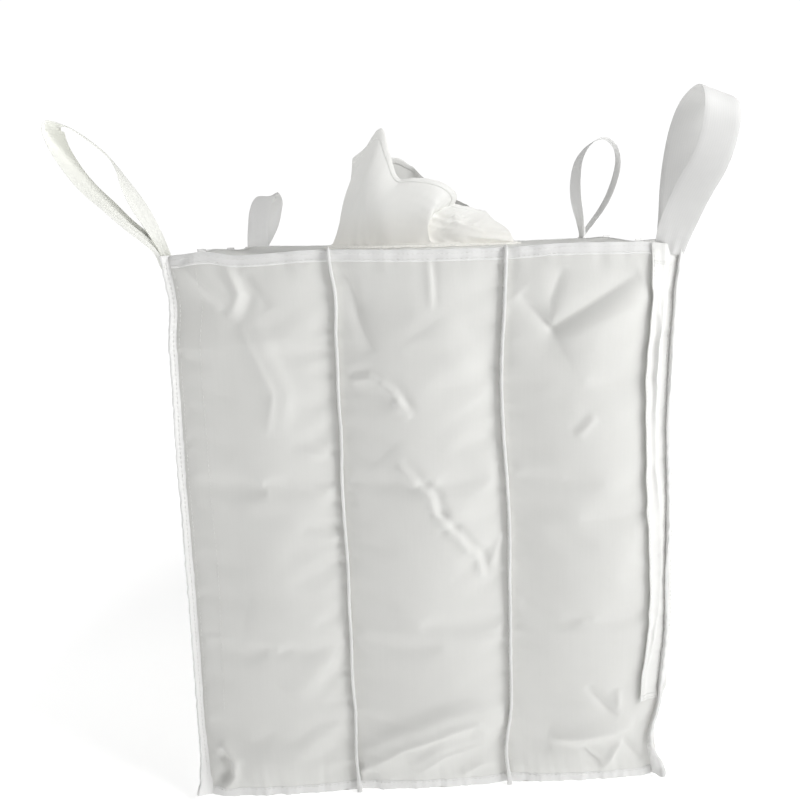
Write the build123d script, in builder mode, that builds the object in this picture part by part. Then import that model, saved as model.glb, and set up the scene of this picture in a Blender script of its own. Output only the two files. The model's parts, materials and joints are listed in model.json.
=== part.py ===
from build123d import *
import os
from math import atan, cos, degrees, radians, sin, sqrt, tan

# A baffle bulk bag: a square sack of coated woven fabric, held square by four inner corner baffles.
# Every wall shows three lobes between its two pinched rib seams. Four webbing loops lift the bag.
# Millimetres, +Z up. The origin is the centre of the base, and the front wall faces -Y.

os.makedirs("parts", exist_ok=True)

# Body
body_width = 950.0  # X, over the flat strips beside the corners
body_depth = 950.0  # Y
body_height = 1100.0  # base to the top edge of the hem
fabric = 2.0  # one layer of body fabric with its coating and fluff, as a solid
hem_height = 20.0
hem_layer = 4.0  # the hem is folded double
rib_spacing = 316.0  # between the two rib seams of a wall
middle_bulge = 14.0  # how far the middle lobe swells past the flat wall
corner_bulge = 11.0  # the same for the two outer lobes

# Seams
rib_width = 7.0
rib_depth = 11.0
rib_rise = 6.0  # how far a rib stands above the hem
rib_clearance = 0.5  # flat land on each side of a rib's foot
corner_seam_inset = 4.0  # from the wall's outer face to the seam's inner face
corner_seam_proud = 8.0
corner_seam_round = 3.0

# Baffles
baffle_fabric = 2.0
baffle_clearance = 0.3
baffle_end_gap = 110.0  # open above and below each baffle, so that the fill runs through
flow_hole_radius = 62.5
flow_hole_count = 4
flow_hole_pitch = 215.0

# Lifting webbing
web_width = 64.0
web_thickness = 2.6
leg_length = 915.0
leg_corner_gap = 3.0  # between the sewn leg and the corner seam
leg_land_gap = 4.0  # between the leg's inner edge and the start of the lobe
loop_length = 275.0  # from the pivot to the top of the loop
loop_strand = 3.0
loop_top_radius = 50.0
loop_root_radius = 6.0
loop_root_half_width = 8.0  # where the two twisted strands meet the corner
loop_full_width_at = 75.0  # above this distance from the pivot the webbing lies flat
pivot_outset = 12.0  # outside the wall
pivot_rise = 10.0  # above the top panel
pivot_from_corner = 14.0  # along the edge, from the corner

# Spout
spout_radius = 213.0
spout_fabric = 1.6
spout_high_side = 262.0  # the fabric still stands on the left
spout_low_side = 95.0  # and has slumped on the right
mouth_hem_height = 18.0
mouth_hem_fabric = 3.0
collar_width = 20.0
collar_fabric = 1.6

# How each loop rests: outward lean about its hinge, lean along the hinge, and twist of the webbing.
loop_rest = {
    "front_left": {"x": -1, "y": -1, "out": Vector(-1, 0, 0), "lean": 45, "along": 0, "twist": 25},
    "front_right": {"x": 1, "y": -1, "out": Vector(0, -1, 0), "lean": 5, "along": 12, "twist": 30},
    "back_left": {"x": -1, "y": 1, "out": Vector(0, 1, 0), "lean": 61, "along": 2, "twist": 5},
    "back_right": {"x": 1, "y": 1, "out": Vector(1, 0, 0), "lean": 13, "along": 0, "twist": 12},
}

half_width = body_width / 2
half_depth = body_depth / 2
top_panel_top = body_height + fabric
rib_land = rib_width / 2 + rib_clearance
corner_land = corner_seam_inset + leg_corner_gap + web_width + leg_land_gap


def finish(piece, label):
    """Names a finished piece and writes it to its own file."""
    piece.part.label = label
    export_step(piece.part, f"parts/{label}.step")


# The four walls -------------------------------------------------------------------------------
# Each wall is drawn in plan as the front wall is, then turned into its place about the origin.
# "half" is half the wall's own length and "out" is its distance from the origin.

walls = {
    "front": {"turn": 0, "half": half_width, "out": half_depth},
    "right": {"turn": 90, "half": half_depth, "out": half_width},
    "back": {"turn": 180, "half": half_width, "out": half_depth},
    "left": {"turn": 270, "half": half_depth, "out": half_width},
}


def lobed_edge(half, out, reverse=False):
    """Points of the wall's face in plan, from left to right: pairs of arc ends with the crest between."""
    rib = rib_spacing / 2
    lobes = [
        (-half + corner_land, -rib - rib_land, corner_bulge),
        (-rib + rib_land, rib - rib_land, middle_bulge),
        (rib + rib_land, half - corner_land, corner_bulge),
    ]
    if reverse:
        lobes = [(b, a, bulge) for a, b, bulge in reversed(lobes)]
    return [((a, -out), ((a + b) / 2, -out - bulge), (b, -out)) for a, b, bulge in lobes]


def wall_outline(half, out, layer):
    """The closed plan of a wall with the given layer."""
    end = half - corner_seam_inset
    outer = lobed_edge(half, out)
    inner = lobed_edge(half, out - layer, reverse=True)
    with BuildLine() as outline:
        here = (-end, -out)
        for start, crest, stop in outer:
            Line(here, start)
            ThreePointArc(start, crest, stop)
            here = stop
        Line(here, (end, -out))
        Line((end, -out), (end, -out + layer))
        here = (end, -out + layer)
        for start, crest, stop in inner:
            Line(here, start)
            ThreePointArc(start, crest, stop)
            here = stop
        Line(here, (-end, -out + layer))
        Line((-end, -out + layer), (-end, -out))
    return outline.line


def wall_strip(wall, low, high, layer):
    """A strip of wall between two heights, with its plan turned to the wall's side."""
    with BuildPart() as strip:
        with BuildSketch(Plane.XY.offset(low).rotated((0, 0, wall["turn"]))):
            add(wall_outline(wall["half"], wall["out"], layer))
            make_face()
        extrude(amount=high - low)
    return strip


for side, wall in walls.items():
    panel_low = fabric + hem_height
    panel_high = body_height - hem_height
    finish(wall_strip(wall, panel_low, panel_high, fabric), f"{side}_panel")
    finish(wall_strip(wall, fabric, panel_low, hem_layer), f"bottom_hem_{side}")
    finish(wall_strip(wall, panel_high, body_height, hem_layer), f"top_hem_{side}")


# The bottom and top panels --------------------------------------------------------------------
# Both are cut to the outline that the four walls make, so every wall stands on the bottom panel
# and carries the top panel on its hem.


def panel_outline():
    """The closed plan over all four walls: a lobed square."""
    with BuildLine() as outline:
        here = None
        for wall in walls.values():
            turned = [
                [Vector(*p, 0).rotate(Axis.Z, wall["turn"]) for p in lobe]
                for lobe in lobed_edge(wall["half"], wall["out"])
            ]
            corner_x = wall["half"] - corner_seam_inset
            first = Vector(-corner_x, -wall["out"], 0).rotate(Axis.Z, wall["turn"])
            last = Vector(corner_x, -wall["out"], 0).rotate(Axis.Z, wall["turn"])
            if here is not None:
                Line(here, first)
            else:
                outline_start = first
            here = first
            for start, crest, stop in turned:
                Line(here, start)
                ThreePointArc(start, crest, stop)
                here = stop
            Line(here, last)
            here = last
        Line(here, outline_start)
    return outline.line


with BuildPart() as bottom_panel:
    with BuildSketch(Plane.XY):
        add(panel_outline())
        make_face()
    extrude(amount=fabric)
finish(bottom_panel, "bottom_panel")

with BuildPart() as top_panel:
    with BuildSketch(Plane.XY.offset(body_height)):
        add(panel_outline())
        make_face()
        Circle(spout_radius, mode=Mode.SUBTRACT)
    extrude(amount=fabric)
finish(top_panel, "top_panel")


# Rib seams ------------------------------------------------------------------------------------
# The wall is pinched outwards over the baffle's edge and sewn, which leaves a standing rib.

for side, wall in walls.items():
    for hand, across in (("left", -rib_spacing / 2), ("right", rib_spacing / 2)):
        rib_plane = Plane.XY.offset(fabric).rotated((0, 0, wall["turn"]))
        with BuildPart() as rib_seam:
            with BuildSketch(rib_plane):
                with Locations((across, -wall["out"] - rib_depth / 2)):
                    Rectangle(rib_width, rib_depth)
            extrude(amount=body_height + rib_rise - fabric)
            outer_edges = rib_seam.edges().filter_by(Axis.Z)
            outward = rib_plane.y_dir * -1
            outer_edges = outer_edges.sort_by(lambda e: e.center().dot(outward))[-2:]
            fillet(outer_edges, rib_width * 0.4)
        finish(rib_seam, f"rib_seam_{side}_{hand}")


# Corner seams ---------------------------------------------------------------------------------
# The edges of two walls are sewn together at each corner and stand out as a soft square ridge.

corner_seam_side = corner_seam_inset + corner_seam_proud
for corner, rest in loop_rest.items():
    middle_x = rest["x"] * (half_width + (corner_seam_proud - corner_seam_inset) / 2)
    middle_y = rest["y"] * (half_depth + (corner_seam_proud - corner_seam_inset) / 2)
    with BuildPart() as corner_seam:
        with BuildSketch(Plane.XY.offset(fabric)):
            with Locations((middle_x, middle_y)):
                Rectangle(corner_seam_side, corner_seam_side)
        extrude(amount=body_height - fabric)
        outward = Vector(rest["x"], rest["y"], 0)
        upright = corner_seam.edges().filter_by(Axis.Z)
        fillet(upright.sort_by(lambda e: e.center().dot(outward))[-1], corner_seam_round)
    finish(corner_seam, f"corner_seam_{corner}")


# Corner baffles -------------------------------------------------------------------------------
# A strip of fabric crosses each corner from rib seam to rib seam, with a column of flow holes. It
# is drawn as a lower and an upper length that meet halfway up, between two of the holes.

baffle_low = fabric + baffle_end_gap
baffle_high = body_height - baffle_end_gap
baffle_middle = (baffle_low + baffle_high) / 2
inner_x = half_width - fabric - baffle_clearance
inner_y = half_depth - fabric - baffle_clearance
for corner, rest in loop_rest.items():
    on_front = Vector(rest["x"] * rib_spacing / 2, rest["y"] * inner_y, 0)
    on_side = Vector(rest["x"] * inner_x, rest["y"] * rib_spacing / 2, 0)
    along = (on_side - on_front).normalized()
    across_x = Vector(-rest["x"] * baffle_fabric * sqrt(2), 0, 0)
    across_y = Vector(0, -rest["y"] * baffle_fabric * sqrt(2), 0)
    hole_middle = (on_front + on_side) * 0.5 + Vector(0, 0, baffle_middle)
    hole_plane = Plane(hole_middle, x_dir=along, z_dir=along.cross(Vector(0, 0, 1)))
    for length, low, high in (
        ("lower", baffle_low, baffle_middle),
        ("upper", baffle_middle, baffle_high),
    ):
        with BuildPart() as baffle:
            with BuildSketch(Plane.XY.offset(low)):
                with BuildLine():
                    Polyline(
                        on_front,
                        on_side,
                        on_side + across_y,
                        on_front + across_x,
                        close=True,
                    )
                make_face()
            extrude(amount=high - low)
            with BuildSketch(hole_plane):
                with GridLocations(1, flow_hole_pitch, 1, flow_hole_count):
                    Circle(flow_hole_radius)
            extrude(amount=4 * baffle_fabric, both=True, mode=Mode.SUBTRACT)
        finish(baffle, f"baffle_{corner}_{length}")


# Lifting webbing ------------------------------------------------------------------------------
# Each loop's two ends are sewn down the two walls that meet at its corner. The sewn legs belong
# to the body, and the free loop above them swings about the top edge.

leg_middle_inset = corner_seam_inset + leg_corner_gap + web_width / 2
leg_low = top_panel_top - leg_length
leg_names = {
    "front": ("front_left", "front_right"),
    "right": ("front_right", "back_right"),
    "back": ("back_right", "back_left"),
    "left": ("back_left", "front_left"),
}
for side, wall in walls.items():
    for corner, hand in zip(leg_names[side], (-1, 1)):
        with BuildPart() as leg:
            with BuildSketch(Plane.XY.offset(leg_low).rotated((0, 0, wall["turn"]))):
                across = hand * (wall["half"] - leg_middle_inset)
                with Locations((across, -wall["out"] - web_thickness / 2)):
                    Rectangle(web_width, web_thickness)
            extrude(amount=leg_length)
        finish(leg, f"web_leg_{corner}_{side}")

for corner, rest in loop_rest.items():
    out = rest["out"]
    hinge = Vector(0, 0, 1).cross(out)
    edge = Vector(rest["x"] * half_width, rest["y"] * half_depth, top_panel_top)
    inwards = Vector(-rest["x"], -rest["y"], 0)
    inwards = inwards - out * inwards.dot(out)
    pivot = edge + out * pivot_outset + inwards * pivot_from_corner + Vector(0, 0, pivot_rise)
    sideways = inwards * -tan(radians(rest["along"]))
    up = (out * tan(radians(rest["lean"])) + sideways + Vector(0, 0, 1)).normalized()
    flat = (hinge - up * hinge.dot(up)).normalized()
    flat = flat * cos(radians(rest["twist"])) + up.cross(flat) * sin(radians(rest["twist"]))
    ring_plane = Plane(pivot, x_dir=up.cross(flat), z_dir=flat)
    width_plane = Plane(pivot, x_dir=flat, z_dir=flat.cross(up))
    with BuildPart() as loop:
        with BuildSketch(ring_plane):
            Circle(loop_root_radius)
            with Locations((0, loop_length - loop_top_radius)):
                Circle(loop_top_radius)
            make_hull()
            offset(amount=-loop_strand, mode=Mode.SUBTRACT)
        extrude(amount=web_width / 2, both=True)
        with BuildSketch(width_plane):
            with BuildLine():
                Polyline(
                    (-loop_root_half_width, -2 * loop_root_radius),
                    (loop_root_half_width, -2 * loop_root_radius),
                    (loop_root_half_width, 0),
                    (web_width / 2, loop_full_width_at),
                    (web_width / 2, loop_length + loop_strand),
                    (-web_width / 2, loop_length + loop_strand),
                    (-web_width / 2, loop_full_width_at),
                    (-loop_root_half_width, 0),
                    close=True,
                )
            make_face()
        extrude(amount=2 * loop_top_radius, both=True, mode=Mode.INTERSECT)
    finish(loop, f"lifting_loop_{corner}")


# Filling spout --------------------------------------------------------------------------------
# A thin sleeve sewn into the top panel by a flat collar. Its mouth is hemmed. The sleeve has
# slumped, so the mouth slopes from the high side down to the low side.

with BuildPart() as spout_collar:
    with BuildSketch(Plane.XY.offset(top_panel_top)):
        Circle(spout_radius + collar_width)
        Circle(spout_radius, mode=Mode.SUBTRACT)
    extrude(amount=collar_fabric)
finish(spout_collar, "spout_collar")

mouth_slope = atan((spout_high_side - spout_low_side) / (2 * spout_radius))
mouth_middle = top_panel_top + (spout_high_side + spout_low_side) / 2
mouth_plane = Plane.XY.offset(mouth_middle).rotated((0, degrees(mouth_slope), 0))
hem_plane = Plane.XY.offset(mouth_middle - mouth_hem_height).rotated((0, degrees(mouth_slope), 0))


def slanted_tube(outer, layer, low, high, cut_above, cut_below=None):
    """A round tube between two heights, cut off by a sloping plane above and perhaps one below."""
    with BuildPart() as tube:
        with BuildSketch(Plane.XY.offset(low)):
            Circle(outer)
            Circle(outer - layer, mode=Mode.SUBTRACT)
        extrude(amount=high - low)
        split(bisect_by=cut_above, keep=Keep.BOTTOM)
        if cut_below is not None:
            split(bisect_by=cut_below, keep=Keep.TOP)
    return tube


tube_high = top_panel_top + spout_high_side + mouth_hem_height
sleeve = slanted_tube(spout_radius, spout_fabric, body_height, tube_high, hem_plane)
finish(sleeve, "spout_sleeve")
mouth_hem_radius = spout_radius - spout_fabric + mouth_hem_fabric
mouth_hem = slanted_tube(
    mouth_hem_radius, mouth_hem_fabric, top_panel_top, tube_high, mouth_plane, hem_plane
)
finish(mouth_hem, "spout_mouth_hem")
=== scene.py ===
import math

import bpy
import numpy as np
from mathutils import Matrix, Vector
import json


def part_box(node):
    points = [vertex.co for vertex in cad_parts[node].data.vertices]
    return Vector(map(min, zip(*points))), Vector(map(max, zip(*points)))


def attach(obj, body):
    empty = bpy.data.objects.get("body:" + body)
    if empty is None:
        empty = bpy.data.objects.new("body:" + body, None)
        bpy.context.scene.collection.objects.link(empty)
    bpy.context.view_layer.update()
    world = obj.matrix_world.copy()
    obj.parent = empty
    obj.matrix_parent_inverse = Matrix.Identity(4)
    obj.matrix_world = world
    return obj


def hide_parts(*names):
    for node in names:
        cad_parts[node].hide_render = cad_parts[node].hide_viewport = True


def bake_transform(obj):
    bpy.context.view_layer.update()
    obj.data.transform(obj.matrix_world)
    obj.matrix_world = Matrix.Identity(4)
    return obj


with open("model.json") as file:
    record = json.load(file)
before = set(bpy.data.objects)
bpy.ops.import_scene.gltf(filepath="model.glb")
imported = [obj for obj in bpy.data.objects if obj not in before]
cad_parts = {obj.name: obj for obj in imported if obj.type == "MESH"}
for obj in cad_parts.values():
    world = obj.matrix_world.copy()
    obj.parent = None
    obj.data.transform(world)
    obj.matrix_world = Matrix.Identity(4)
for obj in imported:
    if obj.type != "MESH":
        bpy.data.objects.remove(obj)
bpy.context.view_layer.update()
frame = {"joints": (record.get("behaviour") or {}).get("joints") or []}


# Studio ---------------------------------------------------------------------------------------
# The bag stands on a plain pale floor in front of a white backdrop. A large soft lamp shines from
# its front right, a wide one hangs overhead, and a weak one on its left lights the loops.


class Wire:
    """A shader socket that can be added and multiplied, each time with one more Math node."""

    def __init__(self, finish, socket):
        self.finish = finish
        self.socket = socket

    def __add__(self, other):
        return self.finish.math("ADD", self, other)

    def __sub__(self, other):
        return self.finish.math("SUBTRACT", self, other)

    def __rsub__(self, other):
        return self.finish.math("SUBTRACT", other, self)

    def __mul__(self, other):
        return self.finish.math("MULTIPLY", self, other)


class Finish:
    """A material that is being put together, with one shader."""

    def __init__(self, name, **constants):
        self.material = bpy.data.materials.new(name)
        self.material.use_nodes = True
        self.tree = self.material.node_tree
        self.shader = self.tree.nodes["Principled BSDF"]
        for socket, value in constants.items():
            self.shader.inputs[socket.replace("_", " ")].default_value = value

    def node(self, kind, settings, inputs, output=0):
        """Adds a node: its settings first, and then the values or links of its sockets."""
        made = self.tree.nodes.new(kind)
        for name, value in settings.items():
            setattr(made, name, value)
        for place, value in inputs.items():
            if isinstance(value, Wire):
                self.tree.links.new(value.socket, made.inputs[place])
            else:
                made.inputs[place].default_value = value
        return Wire(self, made.outputs[output])

    def math(self, operation, *values):
        return self.node("ShaderNodeMath", {"operation": operation}, dict(enumerate(values)))

    def noise(self, place, scale, detail=2.0, distortion=0.0):
        settings = {"Vector": place, "Scale": scale, "Detail": detail, "Distortion": distortion}
        return self.node("ShaderNodeTexNoise", {}, settings)

    def coordinates(self, kind):
        return self.node("ShaderNodeTexCoord", {}, {}, kind)

    def mix(self, share, first, second):
        """Goes from the first colour to the second as share goes from 0 to 1."""
        return self.node("ShaderNodeMix", {"data_type": "RGBA"}, {0: share, 6: first, 7: second}, 2)

    def shades(self, tone, colour, darkest, lightest):
        """The colour made darker or lighter by these shares, as tone goes from 0 to 1."""
        dark = tuple(darkest * c for c in colour) + (1,)
        light = tuple(min(1.0, lightest * c) for c in colour) + (1,)
        return self.mix(tone, dark, light)

    def feed(self, socket, wire):
        self.tree.links.new(wire.socket, self.shader.inputs[socket])

    def feed_relief(self, height, strength):
        relief = {"Strength": strength, "Distance": 1.0, "Height": height}
        self.feed("Normal", self.node("ShaderNodeBump", {}, relief))


floor_size = 30.0
bpy.ops.object.select_all(action="DESELECT")
bpy.ops.mesh.primitive_plane_add(size=floor_size)
floor = bpy.context.active_object
floor.name = "studio_floor"
floor_finish = Finish("studio_paper_painted_glow", Roughness=0.9, Emission_Strength=1.0)
floor_place = floor_finish.coordinates("Object")
# Painted glow: the floor gives off light, weaker near the bag and almost white from about 2.4 m out, so that
# the far floor reads as white as the backdrop.
floor_grain = floor_finish.noise(floor_place, 1.5)
floor_reach = floor_finish.node("ShaderNodeVectorMath", {"operation": "LENGTH"}, {0: floor_place}, "Value")
floor_span = {"Value": floor_reach, "From Min": 1.0, "From Max": 2.4}
floor_far = floor_finish.node("ShaderNodeMapRange", {}, floor_span)
floor_glow = floor_finish.mix(floor_far, (0.56, 0.56, 0.56, 1), (0.98, 0.98, 0.98, 1))
floor_finish.feed("Emission Color", floor_glow)
floor_finish.feed("Base Color", floor_finish.mix(floor_grain, (0.9, 0.9, 0.9, 1), (0.93, 0.93, 0.93, 1)))
floor.data.materials.append(floor_finish.material)

scene = bpy.context.scene
scene.world = bpy.data.worlds.new("studio_white")
scene.world.use_nodes = True
backdrop = scene.world.node_tree
ambient = backdrop.nodes["Background"]
ambient.inputs["Color"].default_value = (1, 1, 1, 1)
ambient.inputs["Strength"].default_value = 0.11
seen = backdrop.nodes.new("ShaderNodeBackground")
seen.inputs["Color"].default_value = (1, 1, 1, 1)
seen.inputs["Strength"].default_value = 1.05
which_ray = backdrop.nodes.new("ShaderNodeLightPath")
either = backdrop.nodes.new("ShaderNodeMixShader")
backdrop.links.new(which_ray.outputs["Is Camera Ray"], either.inputs[0])
backdrop.links.new(ambient.outputs[0], either.inputs[1])
backdrop.links.new(seen.outputs[0], either.inputs[2])
backdrop.links.new(either.outputs[0], backdrop.nodes["World Output"].inputs["Surface"])
scene.view_settings.view_transform = "Standard"


def soft_lamp(name, place, target, size, power):
    """A square lamp of the given size and power, aimed at a point."""
    lamp = bpy.data.lights.new(name, "AREA")
    lamp.size = size
    lamp.energy = power
    holder = bpy.data.objects.new(name, lamp)
    holder.location = place
    aim = Vector(target) - Vector(place)
    holder.rotation_euler = aim.to_track_quat("-Z", "Y").to_euler()
    scene.collection.objects.link(holder)


soft_lamp("key_lamp", (2.3, -1.5, 2.4), (0, 0, 0.7), 1.5, 66)
soft_lamp("top_lamp", (0.2, 0.3, 3.6), (0, 0, 0.9), 2.4, 26)
soft_lamp("left_lamp", (-2.6, -0.4, 1.9), (0, 0, 1.1), 1.2, 17)

camera_place = Vector((-0.022, -2.091, 1.135))
camera_turn = math.radians(0.90)
camera_dip = math.radians(11.07)
camera_tilt = math.radians(-1.61)
camera = bpy.data.objects.new("camera", bpy.data.cameras.new("camera"))
camera.data.lens = 39.0
camera.matrix_world = (
    Matrix.Translation(camera_place)
    @ Matrix.Rotation(camera_turn, 4, "Z")
    @ Matrix.Rotation(math.pi / 2 - camera_dip, 4, "X")
    @ Matrix.Rotation(camera_tilt, 4, "Z")
)
scene.collection.objects.link(camera)
scene.camera = camera


# Body shell -----------------------------------------------------------------------------------
# Four walls and the top panel, cut from white woven tape fabric with a thin coating. They are sewn
# to each other and to the inner baffles, which pinch every wall into three upright lobes.

rib_middle = sum(corner.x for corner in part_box("rib_seam_front_right")) / 2
half_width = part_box("corner_seam_front_right")[1].x - 0.008
body_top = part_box("top_hem_front")[1].z
body_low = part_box("bottom_hem_front")[0].z
spout_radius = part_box("spout_sleeve")[1].x
spout_shift = 0.008
fabric = 0.0011
sides = ("front", "right", "back", "left")
lobe_columns = 32
wall_columns = 3 * lobe_columns
wall_rows = 108
top_rows = 20
stray_count = 26


def eased(x, points):
    """A smooth line through (place, value) points: level at each of them."""
    places, values = zip(*points)
    step = np.clip(np.searchsorted(places, x) - 1, 0, len(places) - 2)
    low, high = np.take(places, step), np.take(places, step + 1)
    t = np.clip((x - low) / (high - low), 0, 1)
    t = t * t * (3 - 2 * t)
    return np.take(values, step) * (1 - t) + np.take(values, step + 1) * t


def ripple(x, seed, longest, shortest, waves=7):
    """A gentle uneven wave of about unit height, the same for the same seed."""
    draw = np.random.default_rng(seed)
    total = np.zeros_like(x, dtype=float)
    for _ in range(waves):
        length = math.exp(draw.uniform(math.log(shortest), math.log(longest)))
        total += np.sin(2 * math.pi * (x / length + draw.uniform())) * draw.uniform(0.5, 1)
    return total / (0.6 * waves)


# How each corner wanders from the square: (height, outwards along X, outwards along Y).
corner_wander = {
    "front_left": (
        (0.0, -0.017, 0.016), (0.06, -0.013, 0.014), (0.17, -0.009, 0.009), (0.34, -0.009, 0.004),
        (0.67, -0.006, 0.0), (0.93, -0.008, 0.0), (1.01, -0.014, -0.003), (1.1, -0.006, 0.0),
    ),
    "front_right": (
        (0.0, -0.014, -0.030), (0.085, -0.028, -0.022), (0.19, -0.014, -0.012), (0.36, -0.008, -0.004),
        (0.84, -0.018, 0.0), (1.0, -0.012, 0.0), (1.1, -0.004, -0.002),
    ),
    "back_right": (
        (0.0, -0.012, -0.004), (0.2, -0.008, -0.010), (0.6, -0.002, -0.006), (0.95, -0.010, -0.007),
        (1.1, -0.004, -0.003),
    ),
    "back_left": (
        (0.0, -0.010, -0.012), (0.25, -0.004, -0.006), (0.55, -0.009, -0.003), (0.9, -0.004, -0.010),
        (1.1, -0.005, -0.002),
    ),
}
corner_signs = {
    "front_left": (-1, -1),
    "front_right": (1, -1),
    "back_right": (1, 1),
    "back_left": (-1, 1),
}
wall_corners = {
    "front": ("front_left", "front_right"),
    "right": ("front_right", "back_right"),
    "back": ("back_right", "back_left"),
    "left": ("back_left", "front_left"),
}
wall_out = {"front": (0, -1), "right": (1, 0), "back": (0, 1), "left": (-1, 0)}

# How far each rib seam strays along its wall from its straight line: (height, sideways).
rib_stray = {
    ("front", -1): ((0, -0.001), (0.17, 0.001), (0.34, -0.005), (0.75, -0.004), (1.0, -0.008), (1.1, -0.017)),
    ("front", 1): ((0, 0.003), (0.17, 0.009), (0.37, 0.002), (0.6, 0.004), (0.87, -0.007), (1.1, -0.005)),
    ("right", -1): ((0, 0.004), (0.3, -0.004), (0.7, 0.003), (1.1, -0.003)),
    ("right", 1): ((0, -0.003), (0.4, 0.005), (0.8, -0.002), (1.1, 0.004)),
    ("back", -1): ((0, 0.002), (0.35, -0.003), (0.75, 0.006), (1.1, 0.0)),
    ("back", 1): ((0, -0.005), (0.3, 0.001), (0.65, 0.006), (1.1, -0.004)),
    ("left", -1): ((0, 0.0), (0.45, -0.006), (0.8, 0.002), (1.1, 0.005)),
    ("left", 1): ((0, 0.006), (0.3, 0.0), (0.7, -0.005), (1.1, 0.002)),
}

# How the top edge of each wall rises and dips: (along the wall, height).
top_wave = {
    "front": (
        (-0.475, -0.002), (-0.4, 0.005), (-0.335, -0.003), (-0.18, 0.003), (0.02, -0.002),
        (0.15, -0.002), (0.27, 0.003), (0.4, 0.002), (0.475, -0.006),
    ),
    "right": ((-0.475, -0.006), (-0.3, 0.002), (-0.1, -0.004), (0.2, 0.003), (0.475, -0.003)),
    "back": ((-0.475, -0.003), (-0.25, -0.005), (0.0, 0.003), (0.3, -0.003), (0.475, 0.0)),
    "left": ((-0.475, 0.0), (-0.3, -0.005), (0.05, 0.003), (0.3, -0.002), (0.475, -0.002)),
}
lobe_bulges = {
    "front": (0.015, 0.020, 0.018),
    "right": (0.020, 0.017, 0.013),
    "back": (0.014, 0.021, 0.016),
    "left": (0.017, 0.018, 0.015),
}


def corner_line(corner, z):
    """Where a corner stands at the given heights."""
    sign_x, sign_y = corner_signs[corner]
    wander = corner_wander[corner]
    x = half_width + eased(z, [(height, out) for height, out, _ in wander])
    y = half_width + eased(z, [(height, out) for height, _, out in wander])
    return sign_x * x, sign_y * y


def wall_places(columns):
    """How far along the wall each column stands, with columns on both rib seams."""
    lobe = columns // 3
    ends = (-half_width, -rib_middle, rib_middle, half_width)
    parts = [np.linspace(a, b, lobe, endpoint=False) for a, b in zip(ends, ends[1:])]
    return np.append(np.concatenate(parts), half_width)


def wall_shape(side, along, z):
    """Points of a wall before its fabric creases, on a grid of places along it and heights."""
    u, z = np.meshgrid(along, z)
    first, last = wall_corners[side]
    first_x, first_y = corner_line(first, z)
    last_x, last_y = corner_line(last, z)
    stray = np.zeros_like(u)
    for hand in (-1, 1):
        near = np.clip(1 - np.abs(u - hand * rib_middle) / (2 * rib_middle), 0, 1)
        stray += eased(z, rib_stray[side, hand]) * near
    share = (u + stray + half_width) / (2 * half_width)
    t = z / body_top
    swell = 0.35 + 0.65 * np.sin(math.pi * np.clip(t * 0.96 + 0.02, 0, 1)) ** 0.6
    out = np.zeros_like(u)
    ends = (-half_width, -rib_middle, rib_middle, half_width)
    for start, stop, bulge in zip(ends, ends[1:], lobe_bulges[side]):
        w = np.clip((u - start) / (stop - start), 0, 1)
        out += bulge * (4 * w * (1 - w)) ** 0.75 * swell
    to_corner = half_width - np.abs(u)
    out += 0.006 * (1 - np.exp(-to_corner / 0.012))
    if side == "right":
        out += 0.014 * np.exp(-((u + 0.43) / 0.035) ** 2) * swell
    rise = eased(along, top_wave[side])[None, :] * eased(z, [(0.0, 0.0), (0.9, 0.0), (1.1, 1.0)])
    out_x, out_y = wall_out[side]
    x = first_x * (1 - share) + last_x * share + out_x * out
    y = first_y * (1 - share) + last_y * share + out_y * out
    return np.stack([x, y, z + rise], axis=-1)


def mesh_piece(name, points, faces, uvs=None):
    """A piece from its points and faces, with a UV map in metres that its weave follows."""
    mesh = bpy.data.meshes.new(name)
    mesh.from_pydata(np.reshape(points, (-1, 3)).tolist(), [], [list(face) for face in faces])
    if uvs is not None:
        layer = mesh.uv_layers.new(name="cloth")
        corners = np.zeros(len(mesh.loops), dtype=np.int32)
        mesh.loops.foreach_get("vertex_index", corners)
        layer.data.foreach_set("uv", np.reshape(uvs, (-1, 2))[corners].astype(np.float32).ravel())
    mesh.shade_smooth()
    piece = bpy.data.objects.new(name, mesh)
    scene.collection.objects.link(piece)
    return piece


def grid_faces(rows, columns, wraps=False):
    """Faces of a grid of points, each row joined to the next."""
    number = np.arange(rows * columns).reshape(rows, columns)
    if wraps:
        number = np.concatenate([number, number[:, :1]], axis=1)
    corners = (number[:-1, :-1], number[:-1, 1:], number[1:, 1:], number[1:, :-1])
    return np.stack([c.ravel() for c in corners], axis=-1).tolist()


def distances(points, axis=0):
    """How far each point is from the start of its line of points."""
    steps = np.linalg.norm(np.diff(points, axis=axis), axis=-1)
    return np.cumsum(np.insert(steps, 0, 0.0, axis=axis), axis=axis)


def mean_distances(points):
    """How far up each row of a grid is, as the mean of its columns."""
    steps = np.linalg.norm(np.diff(points, axis=0), axis=-1).mean(axis=1)
    return np.cumsum(np.insert(steps, 0, 0.0))


def unit(vectors):
    return vectors / np.linalg.norm(vectors, axis=-1, keepdims=True)


def select_only(piece):
    bpy.ops.object.select_all(action="DESELECT")
    piece.select_set(True)
    bpy.context.view_layer.objects.active = piece


def apply_modifiers(piece):
    """Applies all of a piece's modifiers, in order."""
    select_only(piece)
    for modifier in list(piece.modifiers):
        bpy.ops.object.modifier_apply(modifier=modifier.name)


def fit(piece, node):
    """Fixes a piece to the bag in place of a CAD node, which it hides."""
    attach(piece, "bag")
    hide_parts(node)


def thicken(piece, thickness, offset=-1):
    """Gives a sheet its thickness, behind its face unless the offset says otherwise."""
    layer = piece.modifiers.new("layer", "SOLIDIFY")
    layer.thickness = thickness
    layer.offset = offset


def read_points(piece):
    """The places of a piece's vertices, as an array."""
    places = np.zeros(len(piece.data.vertices) * 3)
    piece.data.vertices.foreach_get("co", places)
    return places.reshape(-1, 3)


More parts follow.
